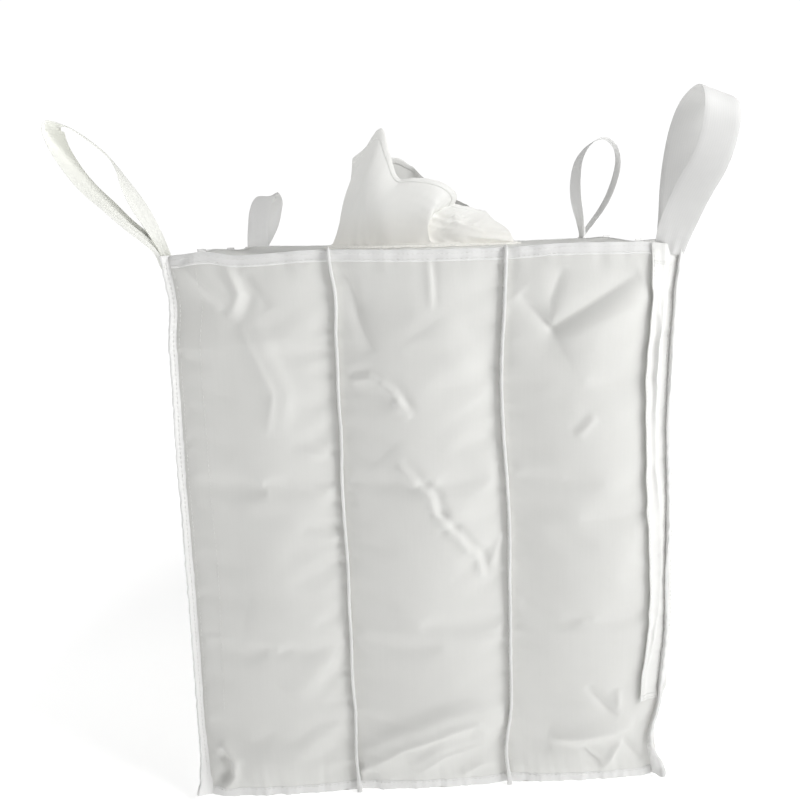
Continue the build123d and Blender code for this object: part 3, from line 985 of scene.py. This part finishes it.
# Where the edges of each leg run, as (height, distance from the wall's middle), and how far the
# inner edge stands off the wall. The leg beside the front left corner lies behind the fabric.
even_leg = (((0.0, 0.409), (1.1, 0.407)), ((0.0, 0.4695), (1.1, 0.4695)), 0.0025)
hidden = -0.0052
leg_edges = {
    ("front", "front_right"): (
        (
            (0.15, 0.430), (0.30, 0.434), (0.42, 0.437), (0.62, 0.429), (0.85, 0.429), (1.0, 0.427),
            (1.1, 0.422),
        ),
        ((0.0, 0.4705), (1.1, 0.4715)),
        0.0085,
    ),
    ("front", "front_left"): (
        ((0.15, 0.425), (0.5, 0.418), (0.85, 0.422), (1.1, 0.414)),
        ((0.0, 0.4700), (1.1, 0.4700)),
        hidden,
    ),
}
leg_rows = []
leg_heights = np.linspace(leg_low, body_top + 0.002, 220)
leg_across = np.linspace(0, 1, 15)
for index, side in enumerate(sides):
    for corner, hand in zip(wall_corners[side], (-1, 1)):
        inner_edge, outer_edge, standing = leg_edges.get((side, corner), even_leg)
        seed = 200 + 20 * index + hand
        z = leg_heights[:, None]
        q = leg_across[None, :]
        inner = eased(leg_heights, inner_edge)[:, None] + 0.0006 * ripple(z, seed, 0.6, 0.2)
        outer = eased(leg_heights, outer_edge)[:, None]
        u = hand * (inner * (1 - q) + outer * q)
        standoff = standing * np.exp(-q / 0.22) * (0.85 + 0.20 * ripple(z, seed + 1, 0.6, 0.15))
        standoff = standoff * np.clip((leg_heights[-1] - z) / 0.05, 0.3, 1)
        ridge_place = 0.55 + 0.25 * ripple(z, seed + 2, 0.9, 0.4, 3)
        ridge = (0.0035 if standing > 0.005 else 0.0012) * np.exp(-(((q - ridge_place) / 0.09) ** 2))
        ridge = ridge * np.clip(0.6 + 0.6 * ripple(z, seed + 3, 0.5, 0.15), 0, 1.3)
        clear = web_thickness + 0.0006 + np.maximum(standoff, 0) + ridge
        if standing == hidden:
            clear = np.full_like(ridge, -fabric - 0.0006)
        if standing > 0.005:
            pleat = np.clip((z - 0.70) / 0.25, 0, 1) * np.clip((1.10 - z) / 0.14, 0, 1)
            for start, stop in ((0.15, 0.5), (0.85, 0.5)):
                line = start + (stop - start) * np.clip((1.09 - z) / 0.17, 0, 1)
                clear = clear + 0.0040 * pleat * np.exp(-(((q - line) / 0.10) ** 2))
        level = np.broadcast_to(np.minimum(z, body_top), u.shape)
        points = walls[side].at(u, level, clear)
        points[..., 2] += z - level
        lengths = np.broadcast_to(z, u.shape)
        leg = mesh_piece(
            f"{corner}_{side}_leg",
            points if hand > 0 else points[:, ::-1],
            grid_faces(*u.shape),
            np.stack([np.broadcast_to(q * web_width, u.shape), lengths], axis=-1),
        )
        thicken(leg, web_thickness)
        soft = leg.modifiers.new("soft_edges", "BEVEL")
        soft.width = 0.0007
        soft.segments = 2
        soft.limit_method = "ANGLE"
        apply_modifiers(leg)
        leg.data.materials.append(webbing)
        fit(leg, f"web_leg_{corner}_{side}")
        sewn = np.maximum(clear, 0) + 0.0003
        for column in (1, -2):
            grid = walls[side].frame(u[:, column], level[:, column], sewn[:, column])
            leg_rows.append(stitch_row(grid[0][2:-3], grid[3][2:-3]))
        bars = (leg_low + 0.006, leg_low + 0.012, body_top - 0.030, body_top - 0.036)
        if standing == hidden:
            bars = ()
        for bar in bars:
            row = int(np.argmin(np.abs(leg_heights - bar)))
            grid = walls[side].frame(u[row, 1:-1], level[row, 1:-1], sewn[row, 1:-1])
            leg_rows.append(stitch_row(grid[0], grid[3], 0.0055))
stitches_piece("leg_stitches", leg_rows)


# Lifting loops --------------------------------------------------------------------------------
# The free part of each length of webbing stands above its corner as an open loop, twisted as it was
# left. It bends near its root, where both strands are gathered and sewn.

# Each loop's line, in metres: a point on the webbing's middle, the direction of its front
# edge from there, and the share of its full width that it shows where it is gathered.
loop_lines = {
    "front_left": (
        (-0.470, -0.474, 1.080, -0.60, -0.75, 0.00, 0.42),
        (-0.482, -0.474, 1.110, -0.50, -0.80, -0.15, 0.42),
        (-0.503, -0.480, 1.133, -0.30, -0.88, -0.30, 0.50),
        (-0.530, -0.486, 1.158, -0.12, -0.90, -0.33, 0.66),
        (-0.561, -0.489, 1.189, -0.08, -0.90, -0.30, 0.84),
        (-0.592, -0.491, 1.220, -0.08, -0.92, -0.28, 0.95),
        (-0.618, -0.492, 1.252, -0.10, -0.92, -0.25, 1.0),
        (-0.640, -0.492, 1.290, -0.16, -0.92, -0.20, 1.0),
        (-0.650, -0.492, 1.318, -0.24, -0.95, -0.08, 1.0),
        (-0.649, -0.492, 1.332, -0.24, -0.97, 0.00, 1.0),
        (-0.639, -0.490, 1.336, -0.05, -1.00, 0.00, 1.0),
        (-0.623, -0.485, 1.330, 0.15, -0.98, 0.00, 1.0),
        (-0.600, -0.476, 1.314, 0.28, -0.96, -0.04, 1.0),
        (-0.571, -0.467, 1.287, 0.31, -0.95, -0.06, 1.0),
        (-0.554, -0.462, 1.262, 0.25, -0.95, -0.12, 1.0),
        (-0.537, -0.460, 1.228, 0.05, -0.92, -0.24, 1.0),
        (-0.516, -0.461, 1.187, -0.10, -0.87, -0.32, 0.9),
        (-0.496, -0.465, 1.148, -0.16, -0.86, -0.30, 0.68),
        (-0.478, -0.469, 1.110, -0.35, -0.85, -0.20, 0.42),
        (-0.469, -0.471, 1.080, -0.55, -0.80, 0.00, 0.42),
    ),
    "front_right": (
        (0.451, -0.482, 1.080, 0.98, -0.10, 0.00, 0.80),
        (0.455, -0.488, 1.108, 0.97, -0.15, -0.05, 0.92),
        (0.460, -0.500, 1.134, 0.95, -0.15, -0.18, 0.98),
        (0.470, -0.515, 1.169, 0.93, -0.15, -0.30, 1.0),
        (0.483, -0.528, 1.202, 0.88, -0.12, -0.43, 1.0),
        (0.499, -0.538, 1.236, 0.90, -0.10, -0.38, 1.0),
        (0.511, -0.541, 1.273, 0.95, -0.05, -0.24, 1.0),
        (0.518, -0.538, 1.312, 0.96, 0.00, -0.22, 1.0),
        (0.520, -0.525, 1.343, 0.95, 0.08, -0.28, 1.0),
        (0.517, -0.502, 1.359, 0.94, 0.15, -0.33, 1.0),
        (0.508, -0.476, 1.353, 0.94, 0.12, -0.30, 1.0),
        (0.496, -0.457, 1.330, 0.95, -0.05, -0.22, 1.0),
        (0.486, -0.447, 1.292, 0.95, -0.20, -0.08, 1.0),
        (0.479, -0.443, 1.245, 0.95, -0.28, 0.02, 1.0),
        (0.474, -0.446, 1.200, 0.96, -0.28, 0.02, 1.0),
        (0.469, -0.454, 1.155, 0.96, -0.25, 0.00, 0.95),
        (0.461, -0.466, 1.112, 0.96, -0.20, 0.00, 0.85),
        (0.455, -0.474, 1.080, 0.97, -0.15, 0.00, 0.70),
    ),
    "back_left": (
        (-0.466, 0.474, 1.082, 1.00, 0.00, 0.00, 0.90),
        (-0.467, 0.492, 1.114, 1.00, 0.00, 0.00, 0.95),
        (-0.472, 0.535, 1.148, 1.00, 0.02, 0.00, 0.95),
        (-0.479, 0.617, 1.196, 1.00, 0.03, 0.03, 1.0),
        (-0.479, 0.680, 1.232, 1.00, 0.02, 0.06, 1.0),
        (-0.469, 0.714, 1.250, 1.00, 0.00, 0.04, 1.0),
        (-0.459, 0.728, 1.249, 1.00, 0.00, -0.03, 1.0),
        (-0.453, 0.727, 1.230, 1.00, -0.05, -0.04, 1.0),
        (-0.453, 0.690, 1.200, 0.99, -0.10, 0.00, 1.0),
        (-0.455, 0.612, 1.154, 0.99, -0.08, 0.00, 1.0),
        (-0.461, 0.538, 1.120, 1.00, -0.03, 0.00, 0.95),
        (-0.464, 0.490, 1.100, 1.00, 0.00, 0.00, 0.90),
        (-0.466, 0.473, 1.078, 1.00, 0.00, 0.00, 0.85),
    ),
    "back_right": (
        (0.471, 0.470, 1.078, 0.50, -0.80, 0.00, 0.45),
        (0.478, 0.468, 1.106, 0.40, -0.90, 0.00, 0.45),
        (0.472, 0.466, 1.138, 0.30, -0.95, 0.00, 0.65),
        (0.465, 0.465, 1.174, 0.30, -0.95, 0.00, 0.90),
        (0.458, 0.464, 1.214, 0.30, -0.95, 0.00, 1.0),
        (0.456, 0.464, 1.264, 0.28, -0.95, 0.00, 1.0),
        (0.466, 0.464, 1.316, 0.18, -0.97, 0.00, 1.0),
        (0.493, 0.465, 1.356, 0.02, -0.98, 0.00, 1.0),
        (0.533, 0.466, 1.375, -0.10, -0.98, 0.00, 1.0),
        (0.565, 0.468, 1.356, -0.06, -0.98, 0.00, 1.0),
        (0.577, 0.469, 1.320, 0.00, -0.98, 0.00, 1.0),
        (0.573, 0.470, 1.274, 0.06, -0.97, 0.00, 1.0),
        (0.557, 0.470, 1.224, 0.08, -0.96, 0.00, 1.0),
        (0.532, 0.471, 1.178, 0.12, -0.95, 0.00, 0.90),
        (0.504, 0.471, 1.136, 0.20, -0.92, 0.00, 0.65),
        (0.483, 0.471, 1.106, 0.30, -0.90, 0.00, 0.45),
        (0.474, 0.471, 1.078, 0.50, -0.80, 0.00, 0.45),
    ),
}


def smooth_path(stations, steps):
    """A Catmull-Rom curve through every value of the stations, with even steps between them."""
    padded = np.concatenate([2 * stations[:1] - stations[1:2], stations, 2 * stations[-1:] - stations[-2:-1]])
    t = np.linspace(0, len(stations) - 1, steps)
    k = np.minimum(t.astype(int), len(stations) - 2)
    s = (t - k)[:, None]
    a, b, c, d = padded[k], padded[k + 1], padded[k + 2], padded[k + 3]
    return 0.5 * (2 * b + (c - a) * s + (2 * a - 5 * b + 4 * c - d) * s**2 + (3 * b - a - 3 * c + d) * s**3)


# The loops are copies of one webbing with painted light and shade: each copy is lighter for a loop that
# stands in light and darker for one in shade.
loop_painted_shades = {
    "front_left": (0.94, 0.945, 0.90),
    "front_right": (0.74, 0.74, 0.73),
    "back_left": (0.78, 0.78, 0.77),
    "back_right": (0.90, 0.90, 0.89),
}
band_places = np.linspace(-1, 1, 13)
for index, (corner, stations) in enumerate(loop_lines.items()):
    path = smooth_path(np.array(stations), 150)
    middle = path[:, :3]
    run = unit(np.gradient(middle, axis=0))
    wide = unit(path[:, 3:6] - run * np.sum(path[:, 3:6] * run, axis=1, keepdims=True))
    thick = np.cross(run, wide)
    travel = distances(middle)
    half_band = web_width / 2 * path[:, 6:7]
    gathered = 1 - path[:, 6]
    cup = 0.0012 * ripple(travel, 300 + index, 0.3, 0.08)[:, None] * band_places**2
    pleats = (0.0055 * gathered)[:, None] * np.cos(band_places * 9 + index)
    rings = []
    for face, places in ((1, band_places), (-1, band_places[::-1])):
        lift = (cup + pleats) if face > 0 else (cup + pleats)[:, ::-1]
        edge = np.where(np.abs(places) > 0.99, 0.25, 1.0)
        offset = lift + face * edge * web_thickness / 2
        across = wide[:, None] * (half_band * places)[..., None]
        rings.append(middle[:, None] + across + thick[:, None] * offset[..., None])
    rings = np.concatenate(rings, axis=1)
    # Each loop's own copy of the webbing, carrying its painted light and shade.
    loop_painted_shade_webbing = webbing_finish(f"{corner}_loop_painted_shade_webbing", loop_painted_shades[corner])
    loop = loft_piece(f"{corner}_loop", rings, loop_painted_shade_webbing)
    hinge = next(joint for joint in frame["joints"] if joint["child"] == f"loop_{corner}")
    pivot = Vector(hinge["pos_m"])
    rise = (Vector(middle[len(middle) // 2]) - pivot).normalized()
    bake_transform(loop)
    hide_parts(f"lifting_loop_{corner}")


# Filling spout --------------------------------------------------------------------------------
# A tube of thinner fabric is sewn round the hole in the top panel. It has been opened and has
# slumped: it still stands on the left, and on the right it has folded down on itself.

spout_base = body_top + 0.0015
# The sleeve as listed, round from its left: the angle at its base, a point halfway up, and a point
# on its mouth, in metres.
spout_line = (
    (180, (-0.163, -0.005, 1.205), (-0.144, -0.010, 1.300)),
    (200, (-0.156, -0.075, 1.208), (-0.116, -0.055, 1.322)),
    (217, (-0.140, -0.128, 1.213), (-0.078, -0.088, 1.360)),
    (230, (-0.115, -0.158, 1.205), (-0.060, -0.115, 1.305)),
    (243, (-0.085, -0.180, 1.190), (-0.044, -0.138, 1.255)),
    (256, (-0.043, -0.193, 1.178), (-0.020, -0.155, 1.245)),
    (267, (0.000, -0.200, 1.170), (0.028, -0.158, 1.239)),
    (274, (0.023, -0.203, 1.160), (0.062, -0.152, 1.227)),
    (277, (0.020, -0.192, 1.152), (0.082, -0.142, 1.208)),
    (280, (0.010, -0.180, 1.148), (0.079, -0.130, 1.190)),
    (286, (0.040, -0.184, 1.142), (0.092, -0.130, 1.184)),
    (295, (0.085, -0.190, 1.140), (0.118, -0.118, 1.181)),
    (308, (0.140, -0.168, 1.134), (0.146, -0.088, 1.174)),
    (328, (0.192, -0.112, 1.126), (0.165, -0.040, 1.160)),
    (352, (0.218, -0.028, 1.120), (0.182, 0.005, 1.142)),
    (376, (0.206, 0.058, 1.126), (0.168, 0.055, 1.152)),
    (400, (0.155, 0.128, 1.148), (0.125, 0.105, 1.182)),
    (425, (0.082, 0.175, 1.180), (0.062, 0.145, 1.228)),
    (448, (0.006, 0.193, 1.200), (0.008, 0.165, 1.278)),
    (470, (-0.064, 0.178, 1.206), (-0.042, 0.158, 1.312)),
    (492, (-0.122, 0.146, 1.206), (-0.088, 0.126, 1.312)),
    (516, (-0.155, 0.082, 1.205), (-0.126, 0.068, 1.305)),
)
between = 16
spout_levels = 44
stations = np.array([[math.radians(a), *mid, *rim] for a, mid, rim in spout_line])
turn = np.array([2 * math.pi, 0, 0, 0, 0, 0, 0])
around = np.concatenate([stations[-2:] - turn, stations, stations[:3] + turn])
course = smooth_path(around, (len(around) - 1) * between + 1)
course = course[2 * between : (2 + len(stations)) * between + 1]
base = round_spout(course[:, 0], spout_base)
middle, rim = course[:, 1:4], course[:, 4:7]
t = np.linspace(0, 1, spout_levels)[:, None, None]
sleeve_points = base * (1 - t) * (1 - 2 * t) + 4 * middle * t * (1 - t) + rim * t * (2 * t - 1)
sideways = np.gradient(sleeve_points, axis=1)
upwards = np.gradient(sleeve_points, axis=0)
out = np.cross(sideways, upwards)
out /= np.linalg.norm(out, axis=-1, keepdims=True) + 1e-12
girth = distances(base)
rise = mean_distances(sleeve_points)
s, h = np.meshgrid(girth / girth[-1], rise)
# The sleeve's soft waves: how many round it, where they start, how they twist, how strong.
soft_waves = ((3, 0.1, 9, 1.0), (5, 0.4, -14, 0.8), (8, 0.7, 20, 0.6), (13, 0.2, -33, 0.45))
slow_wave = sum(
    amount * np.sin(2 * math.pi * (turns * s + shift) + h * twist)
    for turns, shift, twist, amount in soft_waves
)
sleeve_lift = 0.0028 * slow_wave * np.clip(h / 0.05, 0, 1)
gathers = 31 * s + 0.3 * np.sin(2 * math.pi * 7 * s)
sleeve_lift += 0.0022 * np.exp(-h / 0.02) * np.sin(2 * math.pi * gathers)
# Sharp folds in the sleeve: the path round it and up it, how proud, how wide, and the hollow.
spout_folds = (
    (((0.30, 0.14), (0.32, 0.08), (0.36, 0.05)), 0.006, 0.010, 0.6),
    (((0.285, 0.10), (0.33, 0.12)), 0.006, 0.008, 0.5),
    (((0.27, 0.125), (0.315, 0.105), (0.34, 0.12)), -0.006, 0.008, 0.0),
    (((0.33, 0.035), (0.40, 0.03), (0.46, 0.02)), 0.006, 0.010, 0.6),
    (((0.36, 0.07), (0.43, 0.055)), 0.004, 0.010, 0.4),
    (((0.02, 0.05), (0.06, 0.12), (0.10, 0.18)), 0.004, 0.018, 0.4),
    (((0.16, 0.03), (0.13, 0.09)), 0.003, 0.016, 0.4),
    (((0.60, 0.03), (0.64, 0.10), (0.70, 0.14)), 0.006, 0.014, 0.5),
    (((0.74, 0.03), (0.72, 0.12), (0.76, 0.20)), -0.006, 0.014, 0.0),
    (((0.84, 0.06), (0.88, 0.15)), 0.005, 0.016, 0.5),
)
for path, height, width, hollow in spout_folds:
    path = [(place * girth[-1], high) for place, high in path]
    sleeve_lift += crease(s * girth[-1], h, path, height, width, hollow)
# The fold's edge is crumpled where it was last tied.
crumple_place = np.hypot((s - 0.300) * girth[-1] / 0.055, (h - 0.105) / 0.035)
crumple = np.exp(-(crumple_place**2)) * np.clip(h / 0.05, 0, 1)
for number, (turns, climbs) in enumerate(((9, 120), (-23, 75), (37, -95))):
    wrinkle = np.abs(np.sin(turns * 2 * math.pi * s + climbs * h + number))
    sleeve_lift += 0.0030 * crumple * (0.5 - wrinkle)
sleeve_points = sleeve_points + out * sleeve_lift[..., None]
rim_nibble = 0.0020 * ripple(girth, 77, 0.09, 0.02) * np.sin(math.pi * girth / girth[-1])
sleeve_points[..., 2] += rim_nibble * np.clip((h / rise[-1] - 0.7) / 0.3, 0, 1)
# The thin sleeve fabric gets a painted glow of its own colour, standing in for light shining through it, and
# is tinted by dust near the spout's base.
thin_cloth = cloth_finish(
    "thin_spout_fabric_painted_glow", (0.71, 0.71, 0.69), 0.0018, 0.0008, 0.55, painted_glow=0.29, dusty=spout_base + 0.08
)
sleeve_uv = np.stack([s * girth[-1], h], axis=-1)
sleeve = sheet_piece("spout_tube", sleeve_points, sleeve_uv, thin_cloth, 0.0008)
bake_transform(sleeve)
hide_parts("spout_sleeve")

hem_levels = 4
hem_points = sleeve_points[-hem_levels:] + out[-hem_levels:] * 0.0002
mouth_hem = sheet_piece("mouth_hem", hem_points, sleeve_uv[-hem_levels:], thin_cloth, 0.0012)
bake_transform(mouth_hem)
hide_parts("spout_mouth_hem")

# The stitched band round the spout: along the top panel, and then up the foot of the sleeve.
top_inside_out = top_points[::-1]
from_ring = distances(top_inside_out)


def beside_ring(distance, lift):
    """A ring of points on the top panel at a distance from the hole, lifted off it."""
    columns = range(top_points.shape[1])
    ring = [
        [np.interp(distance, from_ring[:, c], top_inside_out[:, c, k]) for k in range(3)]
        for c in columns
    ]
    return np.array(ring) + (0, 0, lift)


collar_profile = ((0.020, 0.0004), (0.0195, 0.0012), (0.012, 0.0017), (0.005, 0.0018), (0.001, 0.0024))
collar_rings = [beside_ring(distance, lift) for distance, lift in collar_profile]
foot = beside_ring(0.0, 0.0) - (spout_shift, 0, 0)
for spread, lift in ((1.004, 0.0040), (1.003, 0.0065)):
    collar_rings.append(foot * (spread, spread, 1) + (spout_shift, 0, lift))
collar_points = np.stack(collar_rings)
collar_uv = cloth_uvs(collar_points)
collar = sheet_piece("spout_collar_band", collar_points[:, ::-1], collar_uv, thin_cloth, 0.0009)
fit(collar, "spout_collar")
spout_rows = []
for inset in (0.004, 0.015):
    line = beside_ring(inset, 0.0024)
    spout_rows.append(stitch_row(line, np.tile([0.0, 0.0, 1.0], (len(line), 1))))
stitches_piece("collar_stitches", spout_rows)


# Corner baffles -------------------------------------------------------------------------------
# A strip of lighter uncoated fabric crosses each corner inside, from rib seam to rib seam. A column
# of round holes lets the fill run into the corner. Only a look down the spout shows it.

baffle_cloth = cloth_finish("baffle_fabric", (0.78, 0.78, 0.77), 0.0026, 0.0010, 0.6)
baffle_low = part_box("baffle_front_left_lower")[0].z
baffle_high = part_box("baffle_front_left_upper")[1].z
hole_count = 4
hole_pitch = 0.215
hole_radius = 0.0625
hole_sides = 48
hole_rings = 5


def baffle_plan(width):
    """Points (across, up) of the holed strip, and its faces: a ring of cells round each hole."""
    points, faces, index = [], [], {}
    band = (baffle_high - baffle_low) / hole_count
    for hole in range(hole_count):
        middle = (hole + 0.5) * band
        offset = (hole - (hole_count - 1) / 2) * hole_pitch + (baffle_high - baffle_low) / 2 - middle
        numbers = np.zeros((hole_rings + 1, hole_sides), dtype=int)
        for side_number in range(hole_sides):
            turn_angle = 2 * math.pi * (side_number + 0.5) / hole_sides
            c, d = math.cos(turn_angle), math.sin(turn_angle)
            reach = min(width / 2 / max(abs(c), 1e-9), band / 2 / max(abs(d), 1e-9))
            for ring in range(hole_rings + 1):
                t = (ring / hole_rings) ** 1.4
                across = c * (hole_radius * (1 - t) + reach * t)
                up = middle + offset * (1 - t) + d * (hole_radius * (1 - t) + reach * t)
                key = (round(across, 5), round(up, 5))
                if key not in index:
                    index[key] = len(points)
                    points.append(key)
                numbers[ring, side_number] = index[key]
        for ring in range(hole_rings):
            for side_number in range(hole_sides):
                after = (side_number + 1) % hole_sides
                quad = [
                    numbers[ring, side_number],
                    numbers[ring + 1, side_number],
                    numbers[ring + 1, after],
                    numbers[ring, after],
                ]
                faces.append([int(v) for v in quad])
    return np.array(points), faces


corner_walls = {
    "front_left": (("front", -1), ("left", 1)),
    "front_right": (("front", 1), ("right", -1)),
    "back_right": (("back", -1), ("right", 1)),
    "back_left": (("back", 1), ("left", -1)),
}
for index, (corner, (first, second)) in enumerate(corner_walls.items()):
    width = math.sqrt(2) * (half_width - rib_middle - 0.004)
    plan, faces = baffle_plan(width)
    share = (plan[:, 0] / width + 0.5)[:, None]
    z = baffle_low + plan[:, 1]
    start = walls[first[0]].at(np.full_like(z, first[1] * rib_middle), z, -0.002)
    stop = walls[second[0]].at(np.full_like(z, second[1] * rib_middle), z, -0.002)
    points = start * (1 - share) + stop * share
    sign_x, sign_y = corner_signs[corner]
    inward = np.array([-sign_x, -sign_y, 0.0]) / math.sqrt(2)
    slack_wave = 0.010 * np.sin(math.pi * share[:, 0]) * np.sin(3 + index + 7 * z)
    slack_wave += 0.004 * np.sin(math.pi * share[:, 0]) * ripple(z + 0.4 * plan[:, 0], 400 + index, 0.3, 0.06)
    points += inward * slack_wave[:, None]
    baffle = mesh_piece(f"{corner}_baffle", points, faces, plan)
    thicken(baffle, 0.0009, offset=0)
    apply_modifiers(baffle)
    baffle.data.materials.append(baffle_cloth)
    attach(baffle, "bag")
    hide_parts(f"baffle_{corner}_lower", f"baffle_{corner}_upper")
